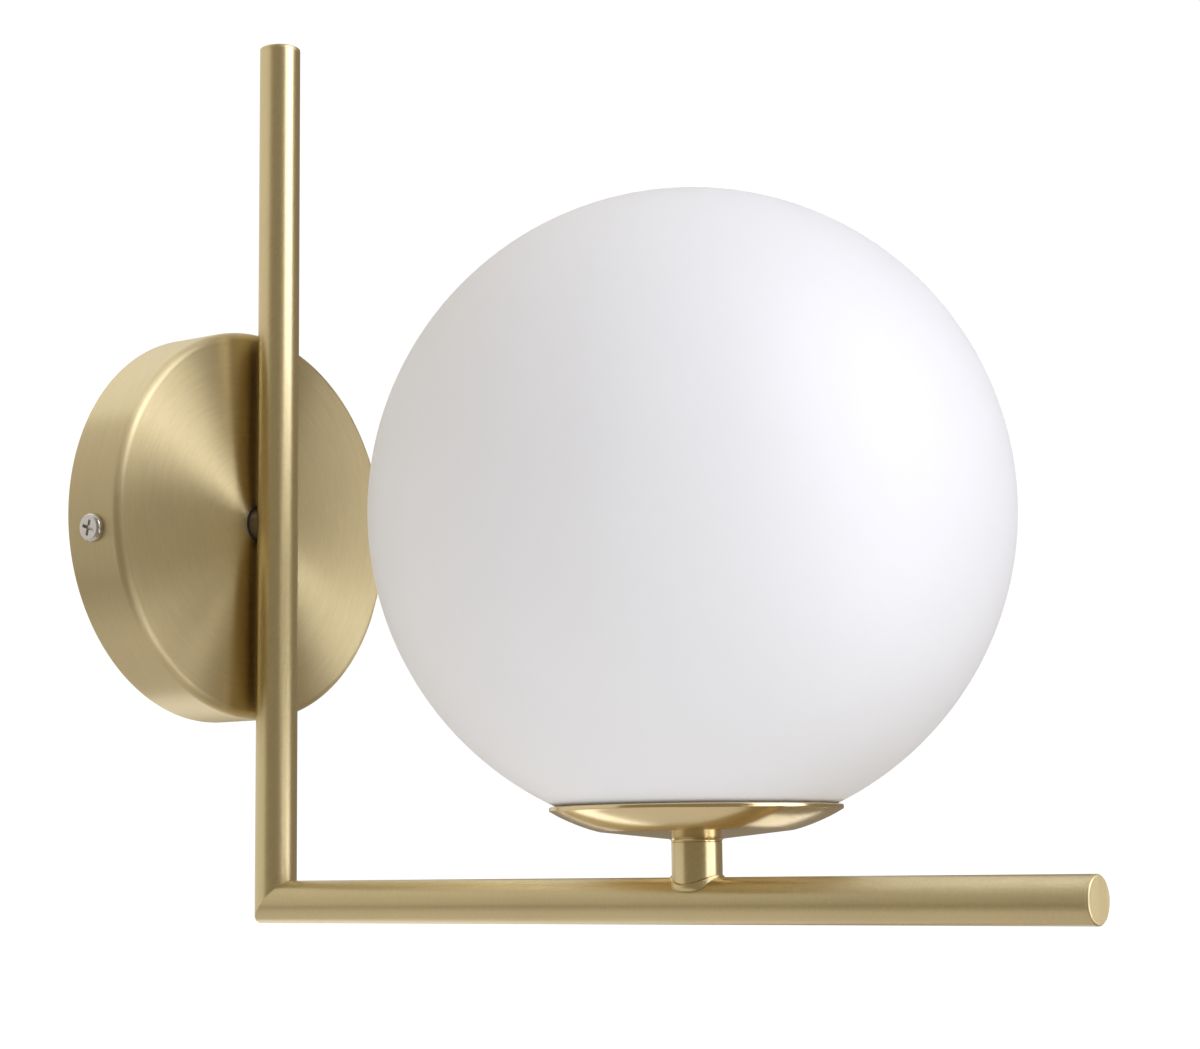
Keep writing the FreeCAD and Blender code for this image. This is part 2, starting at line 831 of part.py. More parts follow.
def earth_tag():
    tag_z = dish_nipple_top_z + wire_turn_tag
    strap_inner_y = stem_y + holder_width / 2
    return rod(tag_diameter / 2,
               point(0, strap_inner_y - tag_thickness, tag_z), point(0, strap_inner_y, tag_z))


# Bulb

def bulb_base():
    return rounded_bar(bulb_base_length, bulb_base_width, bulb_base_z, bulb_base_z + bulb_base_height,
                       bulb_base_corner, stem_y)


def bulb_glass():
    low = bulb_base_z + bulb_base_height
    outer = bulb_diameter / 2
    inner = outer - bulb_glass_wall
    shoulder = bulb_glass_length - outer
    centre = point(0, stem_y, low)
    cylinder = rod(outer, centre, centre + Z * shoulder)
    hollow = rod(inner, centre - Z * overcut, centre + Z * shoulder)
    dome = Part.makeSphere(outer, centre + Z * shoulder)
    dome_hollow = Part.makeSphere(inner, centre + Z * shoulder)
    return cylinder.fuse(dome).cut(hollow.fuse(dome_hollow)).removeSplitter()


def bulb_emitter():
    low = point(0, stem_y, bulb_base_z + bulb_base_height)
    return rod(emitter_diameter / 2, low, low + Z * emitter_length)


def bulb_pins():
    x = pin_spacing / 2
    half_x = pin_thickness / 2
    half_y = pin_width / 2
    pin = block((x - half_x, x + half_x), (stem_y - half_y, stem_y + half_y),
                (bulb_base_z - pin_length, bulb_base_z))
    tips = [edge for edge in pin.Edges
            if abs(edge.CenterOfMass.z - (bulb_base_z - pin_length)) < same_place
            and abs(edge.CenterOfMass.x - x) < same_place]
    rounding = min(pin_tip_rounding, pin_width / 3)
    return group(mirrored_pair(pin.makeFillet(rounding, tips)))


# Wall bracket and earth terminal

def bracket_ear():
    """L-shaped ear on the +X side, with its tapped hole, turned down to the screw's place."""
    outline = [
        point(ear_outer - ear_foot, 0, 0),
        point(ear_outer, 0, 0),
        point(ear_outer, ear_front_y, 0),
        point(ear_outer - bracket_thickness, ear_front_y, 0),
        point(ear_outer - bracket_thickness, bracket_front_y, 0),
        point(ear_outer - ear_foot, bracket_front_y, 0),
    ]
    outer_bend = ear_bend_radius + bracket_thickness
    face = face_from(outline, [0, outer_bend, 0, 0, ear_bend_radius, 0])
    ear = face.extrude(Z * ear_width)
    ear.translate(point(0, 0, -ear_width / 2))
    hole = rod(side_screw_diameter / 2 + thread_clearance,
               point(ear_outer - ear_foot, side_screw_y, 0),
               point(ear_outer + overcut, side_screw_y, 0))
    return drop_to_side_screw(ear.cut(hole))


def slot_through(centre_x):
    """Wall-screw slot along X, cut through the bracket."""
    radius = slot_width / 2
    half_run = slot_length / 2 - radius
    y_range = (bracket_front_y - overcut, overcut)
    middle = block((centre_x - half_run, centre_x + half_run), y_range, (-radius, radius))
    ends = [rod(radius, point(centre_x + side * half_run, y_range[0], 0),
                point(centre_x + side * half_run, y_range[1], 0)) for side in (-1, 1)]
    return middle.fuse(ends[0]).fuse(ends[1])


def wall_bracket():
    half_width = bracket_width / 2
    strap_end = ear_outer - ear_bend_radius - bracket_thickness - ear_root_step
    half_tab = tab_width / 2
    tab_low = -half_width - tab_length
    outline = [
        point(-strap_end, 0, half_width),
        point(strap_end, 0, half_width),
        point(strap_end, 0, -half_width),
        point(half_tab, 0, -half_width),
        point(half_tab, 0, tab_low),
        point(-half_tab, 0, tab_low),
        point(-half_tab, 0, -half_width),
        point(-strap_end, 0, -half_width),
    ]
    strap = face_from(outline, [bracket_corner] * len(outline))
    bracket = strap.extrude(-Y * bracket_thickness)
    for ear in mirrored_pair(bracket_ear()):
        bracket = bracket.fuse(ear)
    for side in (-1, 1):
        bracket = bracket.cut(slot_through(side * slot_spacing / 2))
    earth_hole = rod(earth_screw_diameter / 2 + thread_clearance,
                     point(earth_screw_place, -overcut, 0), point(earth_screw_place, overcut, 0))
    block_hole = rod(block_screw_diameter / 2 + thread_clearance,
                     point(0, -overcut, block_z), point(0, overcut, block_z))
    return bracket.cut(earth_hole).cut(block_hole).removeSplitter()


def earth_ring():
    """Ring tag with an upright tongue under the end of the earth wire."""
    front_y = bracket_front_y - earth_ring_thickness
    ring = rod(earth_ring_diameter / 2, point(earth_screw_place, bracket_front_y, 0),
               point(earth_screw_place, front_y, 0))
    half_tongue = earth_tongue_width / 2
    tongue = block((earth_screw_place - half_tongue, earth_screw_place + half_tongue),
                   (front_y, bracket_front_y), (0, earth_tongue_reach))
    hole = rod(earth_screw_diameter / 2 + pass_clearance,
               point(earth_screw_place, -overcut, 0), point(earth_screw_place, overcut, 0))
    return ring.fuse(tongue).cut(hole)


def earth_washer():
    start_y = bracket_front_y - earth_ring_thickness
    return pipe(earth_washer_diameter / 2, earth_screw_diameter / 2 + pass_clearance,
                point(earth_screw_place, start_y, 0),
                point(earth_screw_place, start_y - earth_washer_thickness, 0))


def earth_screw():
    seat_y = bracket_front_y - earth_ring_thickness - earth_washer_thickness
    top_y = seat_y - earth_screw_head_thickness
    shank = rod(earth_screw_diameter / 2, point(earth_screw_place, -thread_clearance, 0),
                point(earth_screw_place, seat_y, 0))
    head = rod(earth_screw_head_diameter / 2, point(earth_screw_place, seat_y, 0),
               point(earth_screw_place, top_y, 0))
    recess = cross_cut(point(earth_screw_place, top_y, 0), -Y, cross_recess_depth,
                       earth_recess_length, cross_recess_width)
    return shank.fuse(head).cut(recess)


# Terminal block

def clamp_screw_places():
    """(x, z) of the four clamp screws; the upper two hold the lamp's own wires."""
    return [(side * way_spacing / 2, block_z + end * clamp_screw_offset)
            for side in (-1, 1) for end in (-1, 1)]


def clamp_screw_lift(z):
    """How far a clamp screw stands back: down on a wire, or clear of an empty way."""
    return 0 if z > block_z else clamp_way_clearance


def terminal_block():
    low_z = block_z - block_length / 2
    body = rounded_bar(block_width, block_height, low_z, low_z + block_length, block_corner, block_y)
    front_y = bracket_front_y - block_height
    for side in (-1, 1):
        x = side * way_spacing / 2
        body = body.cut(rod(clamp_radius + braze_gap,
                            point(x, way_y, low_z - overcut),
                            point(x, way_y, low_z + block_length + overcut)))
    for x, z in clamp_screw_places():
        body = body.cut(rod(clamp_screw_head_diameter / 2 + pass_clearance,
                            point(x, way_y, z), point(x, front_y - overcut, z)))
    seat_y = front_y + block_screw_head_thickness + clamp_screw_recess
    body = body.cut(rod(block_screw_diameter / 2 + thread_clearance,
                        point(0, overcut, block_z), point(0, front_y - overcut, block_z)))
    return body.cut(rod(block_screw_head_diameter / 2 + pass_clearance,
                        point(0, seat_y, block_z), point(0, front_y - overcut, block_z)))


def terminal_clamps():
    """Two brass tunnels, each bored from both ends up to a stop in the middle."""
    clamps = []
    for side in (-1, 1):
        x = side * way_spacing / 2
        clamp = rod(clamp_radius, point(x, way_y, block_z - clamp_length / 2),
                    point(x, way_y, block_z + clamp_length / 2))
        for end in (-1, 1):
            stop_z = block_z + end * clamp_stop_thickness / 2
            way_mouth_z = block_z + end * (clamp_length / 2 + overcut)
            clamp = clamp.cut(rod(clamp_bore_radius, point(x, way_y, stop_z), point(x, way_y, way_mouth_z)))
        for screw_x, screw_z in clamp_screw_places():
            clamp = clamp.cut(rod(clamp_screw_diameter / 2 + thread_clearance,
                                  point(screw_x, way_y, screw_z),
                                  point(screw_x, way_y - 2 * clamp_radius, screw_z)))
        clamps.append(clamp)
    return group(clamps)


def terminal_screws():
    screws = []
    for x, z in clamp_screw_places():
        tip_y = way_y - wire_radius - braze_gap - clamp_screw_lift(z)
        top_y = bracket_front_y - block_height + clamp_screw_recess - clamp_screw_lift(z)
        seat_y = top_y + clamp_screw_head_thickness
        screw = rod(clamp_screw_diameter / 2, point(x, tip_y, z), point(x, seat_y, z))
        screw = screw.fuse(rod(clamp_screw_head_diameter / 2, point(x, seat_y, z), point(x, top_y, z)))
        recess = slot_cut(point(x, top_y, z), -Y, clamp_slot_depth,
                          clamp_screw_head_diameter * 2, clamp_slot_width)
        screws.append(screw.cut(recess))
    return group(screws)


def block_screw():
    front_y = bracket_front_y - block_height
    seat_y = front_y + block_screw_head_thickness + clamp_screw_recess
    top_y = front_y + clamp_screw_recess
    screw = rod(block_screw_diameter / 2, point(0, -thread_clearance, block_z), point(0, seat_y, block_z))
    screw = screw.fuse(rod(block_screw_head_diameter / 2,
                           point(0, seat_y, block_z), point(0, top_y, block_z)))
    recess = cross_cut(point(0, top_y, block_z), -Y, screw_slot_depth,
                       block_recess_length, screw_slot_width)
    return screw.cut(recess)


# Wires, each whole from the canopy through both tubes and the stem

def wire_along(corners, radii, name):
    """Round wire along straight runs and tangent arcs; prints its radii and volume error."""
    edges = rounded_edges(corners, radii)
    path = Part.Wire(edges)
    heading = (corners[1] - corners[0]).normalize()
    circle = Part.Edge(Part.Circle(corners[0], heading, wire_radius))
    solid = path.makePipeShell([Part.Wire(circle)], True, False)
    expected = math.pi * wire_radius ** 2 * path.Length
    print(name, "radii", radii[1:-1], "length", round(path.Length, 1),
          "volume ratio", round(solid.Volume / expected, 5))
    return solid


def route_inside_lamp(x):
    """The run that all three wires share, side by side, from canopy to stem."""
    run_z = arm_z - wire_drop_in_arm
    corners = [
        point(x, upright_y, 0),
        point(x, upright_y, run_z),
        point(x, stem_y, run_z),
    ]
    return corners, [wire_turn_upright, wire_turn_corner, wire_turn_stem]


def live_or_neutral(side, name):
    x = side * wire_pitch
    way_x = side * way_spacing / 2
    clamp_end_z = block_z + block_length / 2
    shared, shared_radii = route_inside_lamp(x)
    corners = [
        point(way_x, way_y, clamp_end_z - wire_entry_into_clamp),
        point(way_x, way_y, clamp_end_z + wire_turn_behind),
        point(x, way_y, 0),
    ]
    corners += shared + [point(x, stem_y, holder_bottom_z + contact_base_lift)]
    return wire_along(corners, [0, wire_turn_behind, wire_turn_behind] + shared_radii + [0], name)


def live_wire():
    return live_or_neutral(-1, "live_wire")


def neutral_wire():
    return live_or_neutral(1, "neutral_wire")


def earth_wire():
    tag_y = bracket_front_y - earth_ring_thickness - wire_radius
    end_z = earth_washer_diameter / 2 + pass_clearance
    tag_z = dish_nipple_top_z + wire_turn_tag
    shared, shared_radii = route_inside_lamp(0)
    corners = [
        point(earth_screw_place, tag_y, end_z),
        point(earth_screw_place, tag_y, end_z + earth_wire_rise),
        point(0, way_y, end_z + earth_wire_rise),
        point(0, way_y, 0),
    ]
    tag_face_y = stem_y + holder_width / 2 - tag_thickness
    corners += shared + [point(0, stem_y, tag_z), point(0, tag_face_y, tag_z)]
    radii = [0, wire_turn_earth, wire_turn_earth, wire_turn_earth] + shared_radii + [wire_turn_tag, 0]
    return wire_along(corners, radii, "earth_wire")


NODES = [
    wall_bracket, earth_screw, earth_washer, earth_ring,
    terminal_block, terminal_clamps, terminal_screws, block_screw,
    canopy_cover, side_screws, boss_washer, mount_boss, mount_nipple, mount_washer, mount_nut, nipple_bush,
    upright_tube, upright_cap, arm_tube, arm_cap,
    stem_collar, stem_post, dish, dish_nipple, dish_washer, dish_nut,
    clip_plate, globe_clips, clip_rivets, globe_gasket,
    holder_strap, lampholder, holder_contacts, holder_screws, earth_tag,
    live_wire, neutral_wire, earth_wire,
    glass_globe, bulb_base, bulb_glass, bulb_emitter, bulb_pins,
]

os.makedirs("parts", exist_ok=True)
for make_node in NODES:
    shape = make_node()
    shape.exportStep("parts/" + make_node.__name__ + ".step")
    faults = "" if shape.isValid() and all(solid.isClosed() for solid in shape.Solids) else "NOT VALID"
    print(make_node.__name__, len(shape.Solids), round(shape.Volume, 1), faults)
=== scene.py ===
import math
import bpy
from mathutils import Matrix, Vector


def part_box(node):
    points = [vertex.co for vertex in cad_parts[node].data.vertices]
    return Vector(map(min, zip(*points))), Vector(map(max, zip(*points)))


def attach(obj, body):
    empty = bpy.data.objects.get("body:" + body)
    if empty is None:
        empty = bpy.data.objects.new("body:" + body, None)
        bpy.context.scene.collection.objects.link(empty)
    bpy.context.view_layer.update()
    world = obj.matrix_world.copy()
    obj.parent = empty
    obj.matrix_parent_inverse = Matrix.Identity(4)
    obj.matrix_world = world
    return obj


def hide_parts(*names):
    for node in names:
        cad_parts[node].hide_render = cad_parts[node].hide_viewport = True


bl_info = {
    "name": "Globe wall sconce",
    "version": (1, 0, 0),
    "blender": (4, 5, 0),
    "location": "3D View > Sidebar > Sconce",
    "description": "Dresses the globe wall sconce over its fixed frame, with a plain studio",
    "category": "Object",
}

import bmesh
import bpy
from mathutils import Matrix, Vector

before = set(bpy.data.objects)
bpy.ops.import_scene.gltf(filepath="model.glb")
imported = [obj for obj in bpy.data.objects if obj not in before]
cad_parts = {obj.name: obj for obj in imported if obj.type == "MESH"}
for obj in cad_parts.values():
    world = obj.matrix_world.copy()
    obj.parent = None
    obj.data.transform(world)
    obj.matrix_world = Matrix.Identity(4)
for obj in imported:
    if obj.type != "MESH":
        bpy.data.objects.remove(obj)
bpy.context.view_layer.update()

MM = 0.001
FULL_TURN = 2 * math.pi
X_AXIS = Vector((1, 0, 0))
Y_AXIS = Vector((0, 1, 0))
Z_AXIS = Vector((0, 0, 1))


def span(node):
    """Lowest corner, highest corner and middle of a node of the frame."""
    low, high = (Vector(corner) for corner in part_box(node))
    return low, high, (low + high) / 2


# Places read from the frame, so that every piece sits where its node is
GLOBE_LOW, GLOBE_HIGH, GLOBE_MIDDLE = span("glass_globe")
GLOBE_RADIUS = (GLOBE_HIGH.x - GLOBE_LOW.x) / 2
GLOBE_CENTRE = Vector((0, GLOBE_MIDDLE.y, GLOBE_HIGH.z - GLOBE_RADIUS))
CANOPY_LOW, CANOPY_HIGH, CANOPY_MIDDLE = span("canopy_cover")
CANOPY_RADIUS = (CANOPY_HIGH.x - CANOPY_LOW.x) / 2
UPRIGHT_LOW, UPRIGHT_HIGH, UPRIGHT_MIDDLE = span("upright_tube")
ARM_LOW, ARM_HIGH, ARM_MIDDLE = span("arm_tube")
TUBE_RADIUS = (UPRIGHT_HIGH.x - UPRIGHT_LOW.x) / 2
UPRIGHT_Y = UPRIGHT_HIGH.y - TUBE_RADIUS
ARM_Z = ARM_LOW.z + TUBE_RADIUS
CORNER = Vector((0, UPRIGHT_Y, ARM_Z))
UPRIGHT_TOP_Z = span("upright_cap")[1].z
ARM_END_Y = span("arm_cap")[0].y
POST_LOW, POST_HIGH, POST_MIDDLE = span("stem_post")
POST_RADIUS = (POST_HIGH.x - POST_LOW.x) / 2
STEM = Vector((0, POST_MIDDLE.y, POST_HIGH.z))
DISH_LOW, DISH_HIGH, DISH_MIDDLE = span("dish")
DISH_RADIUS = (DISH_HIGH.x - DISH_LOW.x) / 2

# Sizes that the frame's boxes don't show
NIPPLE_BORE = 5.0 * MM
SADDLE_RADIUS = 12.65 * MM
SADDLE_SINK = 12.6 * MM
COLLAR_LIP = 0.7 * MM
CAP_SPIGOT_DEPTH = 4 * MM
CAP_SPIGOT_GAP = 0.05 * MM
HUB_INNER_RADIUS = 15 * MM
HUB_THICKNESS = 2.9 * MM
HUB_STEP = 0.85 * MM
BOWL_SAG = 1.0 * MM

# Camera fitted to the photograph, and the level directions behind it and to its right
CAMERA_PLACE = Vector((-651.5, -629.92, -120.15)) * MM
CAMERA_YAW, CAMERA_PITCH, CAMERA_ROLL = -54.77, 7.68, -0.68
CAMERA_LENS_MM = 75.99
CAMERA_BACK = Vector((-0.8169, -0.5768, 0))
CAMERA_RIGHT = Vector((0.5768, -0.8169, 0))

# Studio
LIGHT_AIM = Vector((0, -0.17, -0.03))
FLOOR_RADIUS = 7
FLOOR_Z = -1.1
FLOOR_GLOW_AS_LIGHT, FLOOR_GLOW_SEEN = 0.3, 0.8
BACKDROP_COLOUR, BACKDROP_STRENGTH = (1, 1, 1, 1), 1.05
ROOM_COLOUR, ROOM_STRENGTH = (1.0, 0.86, 0.66, 1), 0.26
COOL = (0.96, 0.985, 1.11)
PALE_BLUE = (0.93, 0.985, 1.08)
FILL_BLUE = (0.92, 0.985, 1.13)


# Sizes and colours that a user may change

def length(name, description, default):
    return bpy.props.FloatProperty(
        name=name, description=description, default=default, min=0.0, subtype="DISTANCE", unit="LENGTH")


def colour(name, description, default):
    return bpy.props.FloatVectorProperty(
        name=name, description=description, default=default, size=3, min=0.0, max=1.0, subtype="COLOR")


def share(name, description, default):
    return bpy.props.FloatProperty(
        name=name, description=description, default=default, min=0.0, max=1.0, subtype="FACTOR")


class SconceSizes(bpy.types.PropertyGroup):
    canopy_wall: length("Canopy wall", "Thickness of the canopy's sheet", 1.2 * MM)
    canopy_edge: length("Canopy edge", "Rounding between the canopy's face and side", 3.0 * MM)
    canopy_hole: length("Canopy hole", "Radius of the hole in the middle of the canopy", 5.1 * MM)
    tube_wall: length("Tube wall", "Thickness of the frame tubes", 1.0 * MM)
    corner_rounding: length("Corner rounding", "Rounding of the outer corner of the frame", 0.8 * MM)
    seam_groove: length("Seam groove", "Width of the fine grooves where two pieces meet", 0.1 * MM)
    cap_rounding: length("Cap rounding", "Rounding of the rims of the end caps", 0.6 * MM)
    dish_wall: length("Dish wall", "Thickness of the dish", 1.2 * MM)
    knee_radius: length("Dish knee radius", "Radius where the hub of the dish meets its bowl", 29.5 * MM)
    knee_height: length("Dish knee height", "Height of that place over the stem", 3.25 * MM)
    lip_height: length("Dish lip", "Height of the upright lip of the dish", 1.6 * MM)
    glass_wall: length("Glass wall", "Thickness of the globe's glass", 2.5 * MM)
    mouth_rounding: length("Mouth rounding", "Rounding of the ground rim of the globe", 0.6 * MM)


class SconceFinishes(bpy.types.PropertyGroup):
    brass: colour("Brushed brass", "Colour of the brushed tubes and canopy", (0.78, 0.655, 0.37))
    polished: colour("Polished brass", "Colour of the polished dish", (0.8, 0.65, 0.38))
    opal: colour("Opal glass", "Colour of the globe", (0.9, 0.9, 0.91))
    brass_roughness: share("Brass roughness", "Roughness of the brushed brass", 0.42)
    brass_grain: share("Brass grain", "How far the brushing draws out the highlights", 0.95)
    tube_roughness: share("Tube roughness", "Roughness of the brushed tubes", 0.42)
    tube_grain: share("Tube grain", "How far the brushing of the tubes draws out the highlights", 0.75)
    opal_roughness: share("Glass roughness", "Roughness of the etched glass", 0.5)


# Mesh helpers

def bevelled(bm, geometry, offset, segments, affect):
    """Rounds edges or corners by the given offset."""
    bmesh.ops.bevel(
        bm, geom=geometry, offset=offset, offset_type="OFFSET", segments=segments,
        profile=0.5, affect=affect, material=-1, clamp_overlap=False)


def turned(outline, centre, axis, steps=128, segments=6, closed=True):
    """Spins an outline of (radius, height, rounding) corners all the way round an axis."""
    bm = bmesh.new()
    corners = [bm.verts.new(centre + X_AXIS * radius + axis * height) for radius, height, rounding in outline]
    following = corners[1:] + corners[:1] if closed else corners[1:]
    for start, end in zip(corners, following):
        bm.edges.new((start, end))
    for corner, (radius, height, rounding) in zip(corners, outline):
        if rounding:
            bevelled(bm, [corner], rounding, segments, "VERTICES")
    bmesh.ops.spin(
        bm, geom=bm.verts[:] + bm.edges[:], cent=centre, axis=axis, dvec=(0, 0, 0),
        angle=FULL_TURN, steps=steps, use_merge=True, use_duplicate=False)
    bmesh.ops.remove_doubles(bm, verts=bm.verts, dist=0.001 * MM)
    bmesh.ops.recalc_face_normals(bm, faces=bm.faces)
    return bm


def rim_edges(bm):
    return [edge for edge in bm.edges if edge.is_boundary]


def piece_from(bm, name, body, node, material, sharp=32, weighted=True):
    """Makes the finished piece: shading, material, and its place in the frame."""
    for face in bm.faces:
        face.smooth = True
    for edge in bm.edges:
        edge.smooth = edge.calc_face_angle(0) < math.radians(sharp)
    mesh = bpy.data.meshes.new(name)
    bm.to_mesh(mesh)
    bm.free()
    mesh.materials.append(material)
    piece = bpy.data.objects.new(name, mesh)
    bpy.context.scene.collection.objects.link(piece)
    if weighted:
        even = piece.modifiers.new("even shading", "WEIGHTED_NORMAL")
        even.keep_sharp = True
    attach(piece, body)
    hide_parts(node)
    return piece


# Material helpers

class Finish:
    """A node material with short calls for adding and joining nodes."""

    def __init__(self, name):
        self.material = bpy.data.materials.new(name)
        self.material.use_nodes = True
        self.tree = self.material.node_tree
        self.surface = self.tree.nodes["Principled BSDF"]

    def add(self, kind, inputs=None, **settings):
        """Adds a node; inputs are numbers, colours or other nodes' outputs."""
        made = self.tree.nodes.new(kind)
        for key, value in settings.items():
            setattr(made, key, value)
        for key, value in (inputs or {}).items():
            self.feed(made.inputs[key], value)
        return made

    def feed(self, socket, value):
        if isinstance(value, bpy.types.NodeSocket):
            self.tree.links.new(value, socket)
        else:
            socket.default_value = value

    def set(self, **values):
        """Sets or feeds the surface shader's sockets; underscores stand for spaces."""
        for key, value in values.items():
            self.feed(self.surface.inputs[key.replace("_", " ")], value)

    def maths(self, operation, first, second=0.0):
        return self.add("ShaderNodeMath", {0: first, 1: second}, operation=operation).outputs[0]

    def vectors(self, operation, first, second=(0, 0, 0)):
        return self.add("ShaderNodeVectorMath", {0: first, 1: second}, operation=operation).outputs[0]

    def place(self):
        """The point on the piece, in metres, in the frame of the object."""
        return self.add("ShaderNodeTexCoord").outputs["Object"]

    def noise(self, vector, scale, detail=2.0, roughness=0.5):
        made = self.add(
            "ShaderNodeTexNoise",
            {"Vector": vector, "Scale": scale, "Detail": detail, "Roughness": roughness})
        return made.outputs["Fac"]

    def between(self, value, low, high):
        """Spreads a value from 0.3 to 0.7 over low to high, and holds it at the ends outside that."""
        made = self.add(
            "ShaderNodeMapRange",
            {"Value": value, "From Min": 0.3, "From Max": 0.7, "To Min": low, "To Max": high})
        return made.outputs[0]

    def blend(self, value, first, second):
        """Mixes two colours by a value."""
        made = self.add("ShaderNodeMix", data_type="RGBA")
        self.feed(made.inputs["Factor"], value)
        self.feed(made.inputs["A"], (*first, 1.0))
        self.feed(made.inputs["B"], (*second, 1.0))
        return made.outputs["Result"]

    def bump(self, height, depth, strength=1.0):
        made = self.add("ShaderNodeBump", {"Height": height, "Distance": depth, "Strength": strength})
        return made.outputs["Normal"]


def shaded(tint, amount):
    return tuple(channel * amount for channel in tint)


def brush_strokes(finish, place, axis, centre):
    """Grain field and stroke direction: straight along the axis, or round it where a centre is given."""
    if centre is None:
        squeeze = tuple(1.0 - 0.996 * abs(part) for part in axis)
        grain_place = finish.vectors("MULTIPLY", place, squeeze)
        direction = finish.add("ShaderNodeCombineXYZ", {"X": axis[0], "Y": axis[1], "Z": axis[2]}).outputs[0]
        return grain_place, direction
    offset = finish.vectors("SUBTRACT", place, tuple(centre))
    along = finish.vectors("MULTIPLY", offset, tuple(axis))
    flat = finish.vectors("SUBTRACT", offset, along)
    reach = finish.add("ShaderNodeVectorMath", {0: flat}, operation="LENGTH").outputs["Value"]
    turn = finish.vectors("MULTIPLY", finish.vectors("NORMALIZE", flat), (0.006, 0.006, 0.006))
    climb = finish.add(
        "ShaderNodeVectorMath", {0: offset, 1: tuple(axis)}, operation="DOT_PRODUCT").outputs["Value"]
    rings = finish.add("ShaderNodeCombineXYZ", {"X": reach, "Y": climb, "Z": 0.0}).outputs[0]
    grain_place = finish.vectors("ADD", rings, turn)
    direction = finish.vectors("CROSS_PRODUCT", tuple(axis), flat)
    return grain_place, direction


def brushed_metal(name, tint, roughness, grain, axis, centre=None, depth=0.005 * MM):
    """Metal with fine strokes, highlights drawn out across them and a little uneven tone."""
    finish = Finish(name)
    place = finish.place()
    grain_place, direction = brush_strokes(finish, place, axis, centre)
    fine = finish.noise(grain_place, 3000.0, 2.0, 0.6)
    broad = finish.noise(grain_place, 900.0, 2.0, 0.5)
    cloud = finish.noise(place, 26.0, 3.0, 0.5)
    streaks = finish.maths("ADD", finish.maths("MULTIPLY", fine, 0.45), finish.maths("MULTIPLY", broad, 0.55))
    tone = finish.maths("ADD", finish.maths("MULTIPLY", streaks, 0.7), finish.maths("MULTIPLY", cloud, 0.3))
    finish.set(
        Base_Color=finish.blend(finish.between(tone, 0.0, 1.0), shaded(tint, 0.9), shaded(tint, 1.08)),
        Metallic=1.0,
        Roughness=finish.between(streaks, roughness - 0.05, roughness + 0.06),
        Anisotropic=grain,
        Coat_Weight=0.6,
        Coat_Roughness=0.3,
        Normal=finish.bump(streaks, depth, 0.6),
    )
    world_direction = finish.add(
        "ShaderNodeVectorTransform", {"Vector": direction}, vector_type="VECTOR",
        convert_from="OBJECT", convert_to="WORLD").outputs[0]
    facing = finish.add("ShaderNodeNewGeometry").outputs["Normal"]
    across = finish.vectors("NORMALIZE", finish.vectors("CROSS_PRODUCT", facing, world_direction))
    finish.feed(finish.surface.inputs["Tangent"], across)
    return finish.material


def polished_metal(name, tint, roughness, axis, centre):
    """Bright metal with faint polishing rings."""
    finish = Finish(name)
    place = finish.place()
    grain_place = brush_strokes(finish, place, axis, centre)[0]
    rings = finish.noise(grain_place, 2600.0, 2.0, 0.55)
    cloud = finish.noise(place, 40.0, 3.0, 0.5)
    finish.set(
        Base_Color=finish.blend(finish.between(cloud, 0.0, 1.0), shaded(tint, 0.96), shaded(tint, 1.04)),
        Metallic=1.0,
        Roughness=finish.between(rings, roughness - 0.03, roughness + 0.05),
        Normal=finish.bump(rings, 0.002 * MM, 0.4),
    )
    return finish.material


def plain_metal(name, tint, roughness, mottle=60.0, depth=0.004 * MM):
    """Plated or bare metal, slightly cloudy, with fine marks from rolling and handling."""
    finish = Finish(name)
    place = finish.place()
    cloud = finish.noise(place, mottle, 4.0, 0.6)
    marks = finish.noise(finish.vectors("MULTIPLY", place, (1.0, 1.0, 0.08)), 2400.0, 2.0, 0.6)
    finish.set(
        Base_Color=finish.blend(finish.between(cloud, 0.0, 1.0), shaded(tint, 0.88), shaded(tint, 1.06)),
        Metallic=1.0,
        Roughness=finish.between(marks, roughness - 0.07, roughness + 0.08),
        Normal=finish.bump(marks, depth, 0.5),
    )
    return finish.material


def moulded(name, tint, roughness, grain=900.0, depth=0.01 * MM, coat=0.0, scatter=0.0):
    """Plastic, rubber or glazed ceramic with a fine skin texture."""
    finish = Finish(name)
    place = finish.place()
    skin = finish.noise(place, grain, 3.0, 0.6)
    cloud = finish.noise(place, 45.0, 2.0, 0.5)
    finish.set(
        Base_Color=finish.blend(finish.between(cloud, 0.0, 1.0), shaded(tint, 0.93), shaded(tint, 1.03)),
        Roughness=finish.between(skin, roughness - 0.05, roughness + 0.06),
        Normal=finish.bump(skin, depth, 0.5),
        Coat_Weight=coat,
        Subsurface_Weight=scatter,
        Subsurface_Scale=1.5 * MM,
    )
    return finish.material


def opal_glass(name, tint, roughness):
    """Blown opal glass with an etched skin, which scatters light inside its wall."""
    finish = Finish(name)
    place = finish.place()
    skin = finish.noise(place, 1400.0, 3.0, 0.6)
    layer = finish.noise(place, 14.0, 2.0, 0.5)
    finish.set(
        Base_Color=finish.blend(finish.between(layer, 0.0, 1.0), shaded(tint, 0.985), shaded(tint, 1.01)),
        Roughness=finish.between(skin, roughness - 0.03, roughness + 0.04),
        Normal=finish.bump(skin, 0.004 * MM, 0.4),
        IOR=1.5,
        Subsurface_Weight=1.0,
        Subsurface_Radius=(1.0, 1.0, 1.0),
        Subsurface_Scale=2 * MM,
    )
    return finish.material


